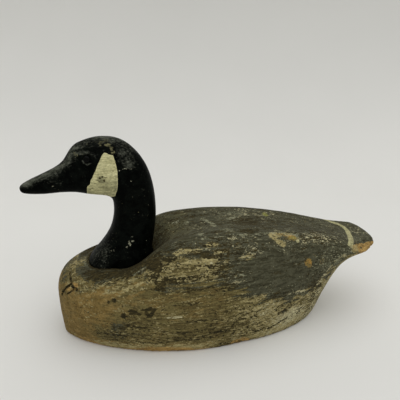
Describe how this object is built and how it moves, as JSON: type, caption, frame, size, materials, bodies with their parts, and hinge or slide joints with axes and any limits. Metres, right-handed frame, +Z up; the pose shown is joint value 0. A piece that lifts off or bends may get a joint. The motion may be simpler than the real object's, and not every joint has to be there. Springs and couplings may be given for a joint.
{
  "type": "goose decoy",
  "caption": "Full-size carved wooden Canada goose decoy with a flat base, an upright neck let into the breast and worn field paint.",
  "frame": {"origin": "middle of the overall length and width, on the plane of the flat underside", "axes": "+X towards the tail, +Y towards the bird's own right, +Z up; the bill points to -X"},
  "size_m": [0.5878, 0.22, 0.3275],
  "materials": {
    "body_paint": "thin matt field paint worn to the grain",
    "head_paint": "black-green paint rubbed to a low gloss",
    "eye_enamel": "gloss black enamel"
  },
  "bodies": {
    "root": {"body": "body_paint", "head_and_neck": "head_paint", "eye_left": "eye_enamel", "eye_right": "eye_enamel"}
  },
  "joints": []
}
